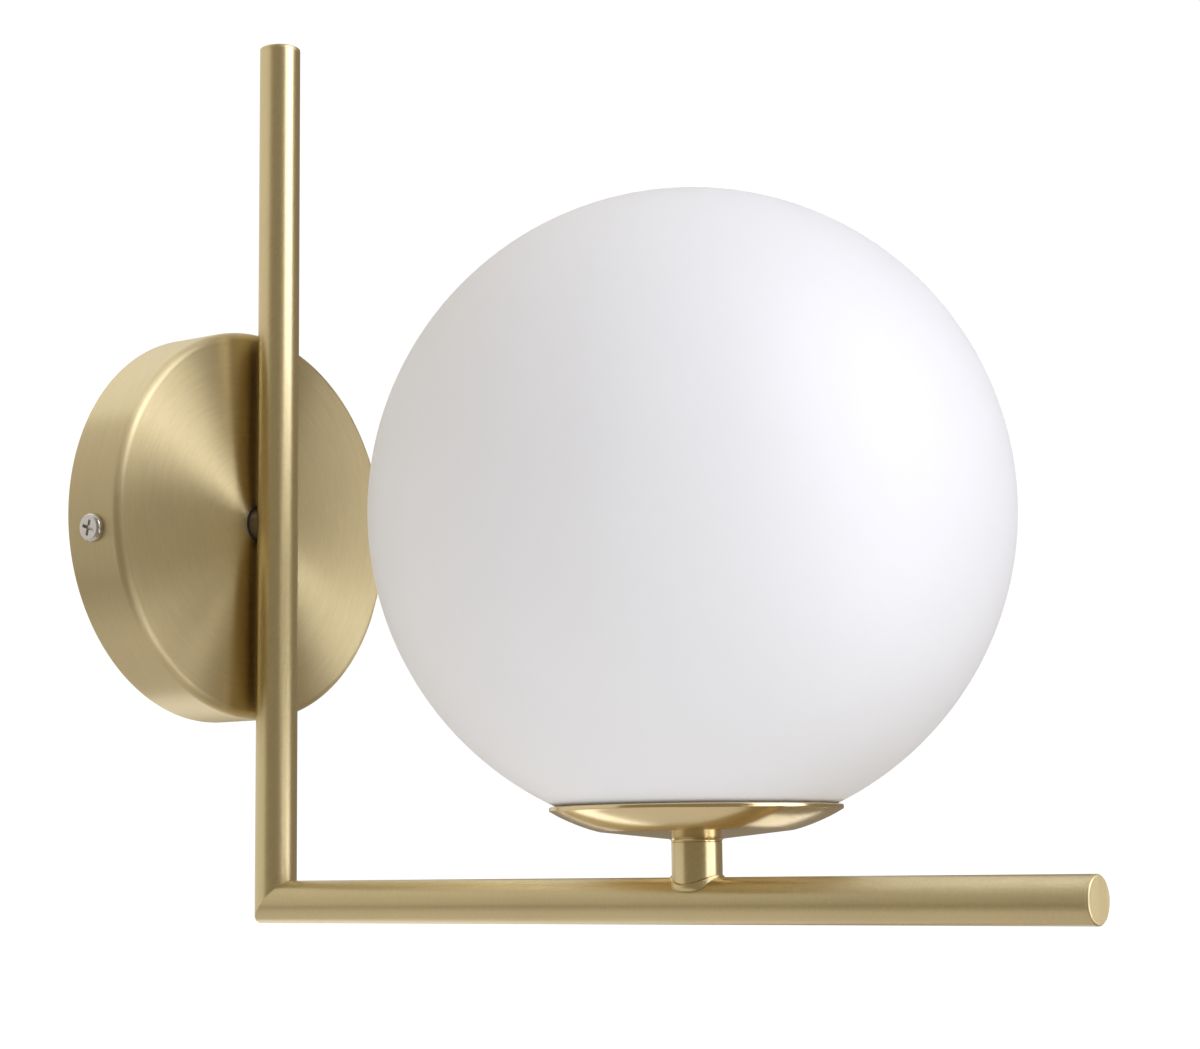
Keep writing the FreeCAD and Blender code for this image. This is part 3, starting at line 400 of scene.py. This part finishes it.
def clear_glass(name):
    finish = Finish(name)
    skin = finish.noise(finish.place(), 300.0, 2.0, 0.5)
    finish.set(
        Base_Color=(0.97, 0.98, 0.98, 1.0),
        Roughness=finish.between(skin, 0.02, 0.05),
        IOR=1.46,
        Transmission_Weight=1.0,
    )
    return finish.material


def phosphor_coat(name):
    """Yellow coating over rows of small light sources."""
    finish = Finish(name)
    place = finish.place()
    rows = finish.add(
        "ShaderNodeTexVoronoi", {"Vector": place, "Scale": 420.0, "Randomness": 0.15}).outputs["Distance"]
    powder = finish.noise(place, 1500.0, 2.0, 0.6)
    finish.set(
        Base_Color=finish.blend(finish.between(rows, 0.0, 1.0), (0.93, 0.72, 0.2), (0.9, 0.83, 0.6)),
        Roughness=finish.between(powder, 0.5, 0.65),
        Normal=finish.bump(powder, 0.01 * MM, 0.5),
    )
    return finish.material


def wire_insulation(name, tint, second=None):
    """Wire insulation; with a second colour it carries broad stripes."""
    finish = Finish(name)
    place = finish.place()
    skin = finish.noise(place, 1100.0, 2.0, 0.6)
    if second is None:
        tone = finish.blend(finish.between(skin, 0.0, 1.0), shaded(tint, 0.9), shaded(tint, 1.06))
    else:
        stripes = finish.add(
            "ShaderNodeTexWave", {"Vector": place, "Scale": 34.0, "Distortion": 0.6},
            wave_type="BANDS", bands_direction="DIAGONAL").outputs["Fac"]
        edge = finish.add(
            "ShaderNodeMapRange",
            {"Value": stripes, "From Min": 0.42, "From Max": 0.5, "To Min": 0.0, "To Max": 1.0}).outputs[0]
        tone = finish.blend(edge, tint, second)
    finish.set(
        Base_Color=tone,
        Roughness=finish.between(skin, 0.38, 0.5),
        Normal=finish.bump(skin, 0.008 * MM, 0.5),
    )
    return finish.material


# Pieces

class SCONCE_OT_canopy(bpy.types.Operator):
    """Makes the round canopy with its turned face and rounded edge"""

    bl_idname = "sconce.canopy"
    bl_label = "Canopy"

    def execute(self, context):
        sizes = context.scene.sconce_sizes
        finishes = context.scene.sconce_finishes
        face = CANOPY_LOW.y
        back = CANOPY_HIGH.y
        inner = CANOPY_RADIUS - sizes.canopy_wall
        outline = [
            (sizes.canopy_hole, face, 0.15 * MM),
            (CANOPY_RADIUS, face, sizes.canopy_edge),
            (CANOPY_RADIUS, back, 0.25 * MM),
            (inner, back, 0.2 * MM),
            (inner, face + sizes.canopy_wall, sizes.canopy_edge - sizes.canopy_wall),
            (sizes.canopy_hole, face + sizes.canopy_wall, 0),
        ]
        shell = turned(outline, Vector((0, 0, 0)), Y_AXIS, steps=180, segments=8)
        turned_brass = brushed_metal(
            "turned_brass", finishes.brass, finishes.brass_roughness, finishes.brass_grain,
            Y_AXIS, Vector((0, 0, 0)))
        piece_from(shell, "canopy_shell", "fixture", "canopy_cover", turned_brass)
        return {"FINISHED"}


def elbow_frame(radius):
    """Round wall of both tubes in one, meeting on the mitre plane, open at both ends."""
    bm = bmesh.new()
    bmesh.ops.create_circle(
        bm, cap_ends=False, segments=96, radius=radius, matrix=Matrix.Translation(CORNER))
    lean = Matrix.Identity(4)
    lean[2][1] = -1
    about_corner = Matrix.Translation(CORNER) @ lean @ Matrix.Translation(-CORNER)
    bmesh.ops.transform(bm, matrix=about_corner, verts=bm.verts)
    mitre = bm.edges[:]
    ends = (
        (Matrix.Diagonal((1, 1, 0, 1)), Vector((0, 0, UPRIGHT_HIGH.z))),
        (Matrix.Diagonal((1, 0, 1, 1)), Vector((0, ARM_LOW.y, 0))),
    )
    for flatten, shift in ends:
        made = bmesh.ops.extrude_edge_only(bm, edges=mitre)
        far = [item for item in made["geom"] if isinstance(item, bmesh.types.BMVert)]
        bmesh.ops.transform(bm, matrix=Matrix.Translation(shift) @ flatten, verts=far)
    return bm, mitre


def tube_from_elbow(sizes, keep_upright):
    """One of the two tubes, cut from the elbow at the mitre plane and given its bore."""
    plane_normal = Vector((0, -1, -1)) if keep_upright else Vector((0, 1, 1))
    shells = []
    for radius in (TUBE_RADIUS, TUBE_RADIUS - sizes.tube_wall):
        bm, mitre = elbow_frame(radius)
        if radius == TUBE_RADIUS:
            outer = [edge for edge in mitre
                     if (edge.verts[0].co.y + edge.verts[1].co.y) / 2 > CORNER.y + 0.25 * radius]
            bevelled(bm, outer, sizes.corner_rounding, 4, "EDGES")
        bmesh.ops.bisect_plane(
            bm, geom=bm.verts[:] + bm.edges[:] + bm.faces[:], dist=0.0001 * MM,
            plane_co=CORNER, plane_no=plane_normal, clear_outer=True)
        mesh = bpy.data.meshes.new("shell")
        bm.to_mesh(mesh)
        bm.free()
        shells.append(mesh)
    bm = bmesh.new()
    for mesh in shells:
        bm.from_mesh(mesh)
        bpy.data.meshes.remove(mesh)
    end_is_far = (lambda edge: edge.verts[0].co.z > 0) if keep_upright else (
        lambda edge: edge.verts[0].co.y < ARM_LOW.y + 1 * MM)
    rims = rim_edges(bm)
    for side in (True, False):
        bmesh.ops.bridge_loops(bm, edges=[edge for edge in rims if end_is_far(edge) is side])
    bmesh.ops.recalc_face_normals(bm, faces=bm.faces)
    return bm


class SCONCE_OT_tubes(bpy.types.Operator):
    """Makes the upright tube and the arm tube, mitred at the lower corner"""

    bl_idname = "sconce.tubes"
    bl_label = "Tubes"

    def execute(self, context):
        sizes = context.scene.sconce_sizes
        finishes = context.scene.sconce_finishes
        upright_brass = brushed_metal(
            "upright_brass", finishes.brass, finishes.tube_roughness, finishes.tube_grain, Z_AXIS, CORNER)
        arm_brass = brushed_metal(
            "arm_brass", finishes.brass, finishes.tube_roughness, finishes.tube_grain, Y_AXIS, CORNER)
        upright = tube_from_elbow(sizes, True)
        piece_from(upright, "upright_shell", "fixture", "upright_tube", upright_brass)
        arm = tube_from_elbow(sizes, False)
        piece_from(arm, "arm_shell", "fixture", "arm_tube", arm_brass)
        return {"FINISHED"}


class SCONCE_OT_caps(bpy.types.Operator):
    """Makes the end caps of both tubes"""

    bl_idname = "sconce.caps"
    bl_label = "End caps"

    def execute(self, context):
        sizes = context.scene.sconce_sizes
        finishes = context.scene.sconce_finishes
        cap_roughness = finishes.brass_roughness + 0.05
        cap_grain = finishes.brass_grain * 0.5
        face_brass = brushed_metal(
            "cap_brass", finishes.brass, cap_roughness, cap_grain, Z_AXIS)
        top_brass = brushed_metal(
            "top_cap_brass", finishes.brass, cap_roughness, cap_grain, Y_AXIS)
        spigot = TUBE_RADIUS - sizes.tube_wall - CAP_SPIGOT_GAP
        caps = (
            ("upright_end", "upright_cap", Vector((0, UPRIGHT_Y, UPRIGHT_TOP_Z)), Z_AXIS,
             UPRIGHT_HIGH.z - UPRIGHT_TOP_Z, top_brass),
            ("arm_end", "arm_cap", Vector((0, ARM_END_Y, ARM_Z)), -Y_AXIS,
             ARM_END_Y - ARM_LOW.y, face_brass),
        )
        for name, node, top, outward, disc, brass in caps:
            outline = [
                (0, 0, 0),
                (TUBE_RADIUS, 0, sizes.cap_rounding),
                (TUBE_RADIUS, disc, sizes.seam_groove),
                (spigot, disc, 0),
                (spigot, disc - CAP_SPIGOT_DEPTH, 0.3 * MM),
                (0, disc - CAP_SPIGOT_DEPTH, 0),
            ]
            cap = turned(outline, top, outward, steps=96, closed=False)
            piece_from(cap, name, "fixture", node, brass)
        return {"FINISHED"}


class SCONCE_OT_stem(bpy.types.Operator):
    """Makes the short stem under the dish, with its curved foot"""

    bl_idname = "sconce.stem"
    bl_label = "Stem"

    def execute(self, context):
        sizes = context.scene.sconce_sizes
        finishes = context.scene.sconce_finishes
        drop = STEM.z - POST_LOW.z
        outline = [
            (POST_RADIUS, 0, sizes.seam_groove * 2),
            (POST_RADIUS, -drop, 0),
            (NIPPLE_BORE, -drop, 0),
            (NIPPLE_BORE, 0, 0),
        ]
        post = turned(outline, STEM, Z_AXIS, steps=128, segments=3)
        saddle_z = ARM_Z + TUBE_RADIUS + COLLAR_LIP - SADDLE_SINK
        foot = [vert for vert in post.verts if vert.co.z < STEM.z - drop + 0.01 * MM]
        for vert in foot:
            vert.co.z = saddle_z + math.sqrt(SADDLE_RADIUS ** 2 - vert.co.x ** 2)
        stem_brass = brushed_metal(
            "stem_brass", finishes.brass, finishes.tube_roughness - 0.1, finishes.tube_grain, Z_AXIS, STEM)
        piece_from(post, "stem_shell", "fixture", "stem_post", stem_brass)
        return {"FINISHED"}


class SCONCE_OT_dish(bpy.types.Operator):
    """Makes the shallow polished dish with its hub, bowl and upright lip"""

    bl_idname = "sconce.dish"
    bl_label = "Dish"

    def execute(self, context):
        sizes = context.scene.sconce_sizes
        finishes = context.scene.sconce_finishes
        depth = DISH_HIGH.z - STEM.z
        lip_foot = depth - sizes.lip_height
        wall = sizes.dish_wall
        bowl = DISH_RADIUS - wall / 2
        middle_radius = (sizes.knee_radius + bowl) / 2 + 0.55 * MM
        middle_height = (sizes.knee_height + lip_foot) / 2 - BOWL_SAG
        outline = [
            (NIPPLE_BORE, 0, 0),
            (POST_RADIUS, 0, sizes.seam_groove * 2),
            (POST_RADIUS, HUB_STEP, 0.8 * MM),
            (sizes.knee_radius, sizes.knee_height, 0.4 * MM),
            (middle_radius, middle_height, 7.0 * MM),
            (bowl, lip_foot, 0),
            (DISH_RADIUS, lip_foot + wall / 4, 0.25 * MM),
            (DISH_RADIUS, depth, 0.5 * MM),
            (DISH_RADIUS - wall, depth, 0.3 * MM),
            (DISH_RADIUS - wall, lip_foot + wall / 2, 0),
            (middle_radius - 0.3 * MM, middle_height + wall, 6.5 * MM),
            (sizes.knee_radius, sizes.knee_height + wall, 0.3 * MM),
            (HUB_INNER_RADIUS, HUB_THICKNESS, 0.3 * MM),
            (NIPPLE_BORE, HUB_THICKNESS, 0),
        ]
        bowl_mesh = turned(outline, STEM, Z_AXIS, steps=180, segments=8)
        polished_brass = polished_metal("dish_brass", finishes.polished, 0.16, Z_AXIS, STEM)
        piece_from(bowl_mesh, "dish_bowl", "fixture", "dish", polished_brass, sharp=24)
        return {"FINISHED"}


class SCONCE_OT_globe(bpy.types.Operator):
    """Makes the opal glass globe, open at its mouth"""

    bl_idname = "sconce.globe"
    bl_label = "Globe"

    def execute(self, context):
        sizes = context.scene.sconce_sizes
        finishes = context.scene.sconce_finishes
        bm = bmesh.new()
        bmesh.ops.create_uvsphere(
            bm, u_segments=160, v_segments=80, radius=GLOBE_RADIUS, matrix=Matrix.Translation(GLOBE_CENTRE))
        bmesh.ops.bisect_plane(
            bm, geom=bm.verts[:] + bm.edges[:] + bm.faces[:], dist=0.001 * MM,
            plane_co=(0, 0, GLOBE_LOW.z), plane_no=(0, 0, -1), clear_outer=True)
        glass = opal_glass("opal_glass_etched", finishes.opal, finishes.opal_roughness)
        globe = piece_from(bm, "globe_shell", "globe", "glass_globe", glass, weighted=False)
        wall = globe.modifiers.new("wall", "SOLIDIFY")
        wall.thickness = sizes.glass_wall
        wall.offset = -1
        wall.use_even_offset = True
        rim = globe.modifiers.new("ground rim", "BEVEL")
        rim.width = sizes.mouth_rounding
        rim.segments = 3
        rim.limit_method = "ANGLE"
        rim.angle_limit = math.radians(40)
        return {"FINISHED"}


class SCONCE_OT_fittings(bpy.types.Operator):
    """Gives the smaller pieces of the frame their finishes"""

    bl_idname = "sconce.fittings"
    bl_label = "Fittings"

    def execute(self, context):
        finishes = context.scene.sconce_finishes
        zinc = plain_metal("zinc_plate", (0.62, 0.63, 0.65), 0.36)
        dark_boss = plain_metal("dark_boss", (0.3, 0.26, 0.22), 0.38)
        nickel = plain_metal("nickel_plate", (0.72, 0.7, 0.67), 0.28)
        bare_brass = plain_metal("bare_brass", (0.76, 0.6, 0.33), 0.3)
        spring = plain_metal("spring_leaf", (0.42, 0.45, 0.5), 0.33)
        # Black finish for the nylon bush and the boss washer; on the washer its black ring is painted shadow,
        # standing in for the contact shadow where the boss meets the canopy face
        black = moulded("black_nylon_and_painted_shadow_ring", (0.03, 0.03, 0.03), 0.5)
        silicone = moulded("silicone_rubber", (0.82, 0.82, 0.8), 0.45, scatter=0.4)
        ceramic = moulded("glazed_ceramic", (0.86, 0.85, 0.82), 0.22, grain=250.0, coat=0.6)
        nylon = moulded("natural_nylon", (0.84, 0.83, 0.77), 0.42, scatter=0.25)
        collar_brass = brushed_metal(
            "collar_brass", finishes.brass, finishes.brass_roughness - 0.05, finishes.brass_grain * 0.6,
            Z_AXIS, STEM)
        chosen = {
            "wall_bracket": zinc, "earth_screw": bare_brass, "earth_washer": zinc, "earth_ring": bare_brass,
            "terminal_block": nylon, "terminal_clamps": bare_brass, "terminal_screws": zinc,
            # The black boss washer draws the dark ring round the boss: painted shadow where the boss meets
            # the canopy face
            "block_screw": zinc, "side_screws": nickel, "boss_washer": black, "mount_boss": dark_boss,
            "mount_nipple": zinc, "mount_washer": zinc, "mount_nut": zinc, "nipple_bush": black,
            "stem_collar": collar_brass, "dish_nipple": zinc, "dish_washer": zinc, "dish_nut": zinc,
            "clip_plate": zinc, "globe_clips": spring, "clip_rivets": bare_brass, "globe_gasket": silicone,
            "holder_strap": zinc, "lampholder": ceramic, "holder_contacts": bare_brass,
            "holder_screws": zinc, "earth_tag": bare_brass,
            "live_wire": wire_insulation("brown_wire", (0.22, 0.1, 0.05)),
            "neutral_wire": wire_insulation("blue_wire", (0.06, 0.2, 0.55)),
            "earth_wire": wire_insulation("earth_wire_stripes", (0.1, 0.38, 0.08), (0.78, 0.72, 0.1)),
            "bulb_base": ceramic, "bulb_glass": clear_glass("capsule_glass"),
            "bulb_emitter": phosphor_coat("phosphor"), "bulb_pins": zinc,
        }
        for node, material in chosen.items():
            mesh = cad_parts[node].data
            if not mesh.materials:
                mesh.materials.append(material)
            for index in range(len(mesh.materials)):
                mesh.materials[index] = material
        return {"FINISHED"}


# Studio

def studio_direction(turn, rise):
    """Direction from the lamp, turned to the right from the camera's side and raised, in degrees."""
    turn = math.radians(turn)
    rise = math.radians(rise)
    level = CAMERA_BACK * math.cos(turn) + CAMERA_RIGHT * math.sin(turn)
    return level * math.cos(rise) + Z_AXIS * math.sin(rise)


def softbox(name, turn, rise, distance, width, height, strength, tint=(1, 1, 1), mirrored=True, matt=True):
    """Rectangular light that faces the lamp; it can light the bright metal or the matt pieces alone."""
    light = bpy.data.lights.new(name, "AREA")
    light.shape = "RECTANGLE"
    light.size = width
    light.size_y = height
    light.energy = strength * math.pi * width * height
    light.color = tint
    holder = bpy.data.objects.new(name, light)
    direction = studio_direction(turn, rise)
    holder.location = LIGHT_AIM + direction * distance
    holder.rotation_euler = direction.to_track_quat("Z", "Y").to_euler()
    holder.visible_camera = False
    holder.visible_glossy = mirrored
    holder.visible_diffuse = matt
    bpy.context.scene.collection.objects.link(holder)


class SCONCE_OT_studio(bpy.types.Operator):
    """Makes the pale floor, the soft lights and the camera"""

    bl_idname = "sconce.studio"
    bl_label = "Studio"

    def execute(self, context):
        scene = context.scene
        floor_bm = bmesh.new()
        bmesh.ops.create_circle(
            floor_bm, cap_ends=True, segments=96, radius=FLOOR_RADIUS,
            matrix=Matrix.Translation((0, 0, FLOOR_Z)))
        floor_mesh = bpy.data.meshes.new("studio_floor")
        floor_bm.to_mesh(floor_mesh)
        floor_bm.free()
        pale = Finish("pale_floor")
        cloud = pale.noise(pale.place(), 3.0, 2.0, 0.5)
        seen = pale.add("ShaderNodeLightPath").outputs["Is Camera Ray"]
        pale.set(
            Base_Color=pale.blend(pale.between(cloud, 0.0, 1.0), (0.84, 0.84, 0.84), (0.86, 0.86, 0.86)),
            Roughness=0.9,
            Emission_Color=(1.0, 1.0, 1.0, 1.0),
            Emission_Strength=pale.between(seen, FLOOR_GLOW_AS_LIGHT, FLOOR_GLOW_SEEN),
        )
        floor_mesh.materials.append(pale.material)
        floor = bpy.data.objects.new("studio_floor", floor_mesh)
        floor.visible_glossy = False
        scene.collection.objects.link(floor)

        world = bpy.data.worlds.new("studio")
        scene.world = world
        world.use_nodes = True
        tree = world.node_tree
        for old in list(tree.nodes):
            tree.nodes.remove(old)
        output = tree.nodes.new("ShaderNodeOutputWorld")
        mix = tree.nodes.new("ShaderNodeMixShader")
        rays = tree.nodes.new("ShaderNodeLightPath")
        backdrop = tree.nodes.new("ShaderNodeBackground")
        backdrop.inputs["Color"].default_value = BACKDROP_COLOUR
        backdrop.inputs["Strength"].default_value = BACKDROP_STRENGTH
        room = tree.nodes.new("ShaderNodeBackground")
        room.inputs["Color"].default_value = ROOM_COLOUR
        room.inputs["Strength"].default_value = ROOM_STRENGTH
        tree.links.new(rays.outputs["Is Camera Ray"], mix.inputs["Fac"])
        tree.links.new(room.outputs[0], mix.inputs[1])
        tree.links.new(backdrop.outputs[0], mix.inputs[2])
        tree.links.new(mix.outputs[0], output.inputs["Surface"])

        # Turn and rise in degrees, distance, width and height in metres, strength
        softbox("key_softbox", 63, 33, 1.5, 1.2, 1.0, 3.3, COOL)
        softbox("low_softbox", 63, -26, 1.4, 1.1, 0.6, 3.0, COOL, matt=False)
        softbox("side_softbox", 66, 3, 1.7, 1.45, 0.9, 2.0, COOL, matt=False)
        softbox("top_softbox", -150, 80, 1.4, 2.2, 2.2, 0.43, PALE_BLUE)
        softbox("left_softbox", -113, 22, 0.78, 2.1, 1.5, 0.48)
        softbox("under_softbox", -118, -58, 0.95, 1.5, 1.2, 0.37, matt=False)
        softbox("dish_softbox", -163, -32, 1.3, 0.6, 0.5, 1.0, matt=False)
        softbox("dish_strip", 163, -38, 1.2, 0.16, 0.5, 0.9, matt=False)
        softbox("matt_fill", 12, -3, 2.2, 2.4, 2.4, 1.1, FILL_BLUE, mirrored=False)

        scene.view_settings.view_transform = "Standard"
        scene.view_settings.look = "None"

        lens = bpy.data.cameras.new("photo_camera")
        lens.sensor_fit = "HORIZONTAL"
        lens.sensor_width = 36
        lens.lens = CAMERA_LENS_MM
        lens.clip_start = 0.01
        lens.clip_end = 60
        camera = bpy.data.objects.new("photo_camera", lens)
        yaw, pitch, roll = (
            math.radians(angle) for angle in (CAMERA_YAW, CAMERA_PITCH, CAMERA_ROLL))
        look = Vector((
            -math.sin(yaw) * math.cos(pitch), math.cos(yaw) * math.cos(pitch), math.sin(pitch)))
        level = Vector((math.cos(yaw), math.sin(yaw), 0))
        rise = level.cross(look)
        right = level * math.cos(roll) + rise * math.sin(roll)
        up = right.cross(look)
        turn = Matrix((right, up, -look)).transposed().to_4x4()
        camera.matrix_world = Matrix.Translation(CAMERA_PLACE) @ turn
        scene.collection.objects.link(camera)
        scene.camera = camera
        return {"FINISHED"}


class SCONCE_PT_panel(bpy.types.Panel):
    """Lists the steps that make the sconce"""

    bl_idname = "SCONCE_PT_panel"
    bl_label = "Sconce"
    bl_space_type = "VIEW_3D"
    bl_region_type = "UI"
    bl_category = "Sconce"

    def draw(self, context):
        layout = self.layout
        for step in STEPS:
            layout.operator(step.bl_idname)
        for settings in (context.scene.sconce_sizes, context.scene.sconce_finishes):
            box = layout.box()
            for name in settings.__annotations__:
                box.prop(settings, name)


STEPS = (
    SCONCE_OT_studio,
    SCONCE_OT_canopy,
    SCONCE_OT_tubes,
    SCONCE_OT_caps,
    SCONCE_OT_stem,
    SCONCE_OT_dish,
    SCONCE_OT_globe,
    SCONCE_OT_fittings,
)
CLASSES = (SconceSizes, SconceFinishes) + STEPS + (SCONCE_PT_panel,)


def register():
    for made in CLASSES:
        bpy.utils.register_class(made)
    bpy.types.Scene.sconce_sizes = bpy.props.PointerProperty(type=SconceSizes)
    bpy.types.Scene.sconce_finishes = bpy.props.PointerProperty(type=SconceFinishes)


def unregister():
    del bpy.types.Scene.sconce_finishes
    del bpy.types.Scene.sconce_sizes
    for made in reversed(CLASSES):
        bpy.utils.unregister_class(made)


def main():
    register()
    for step in STEPS:
        group, action = step.bl_idname.split(".")
        getattr(getattr(bpy.ops, group), action)()


if __name__ == "__main__":
    main()
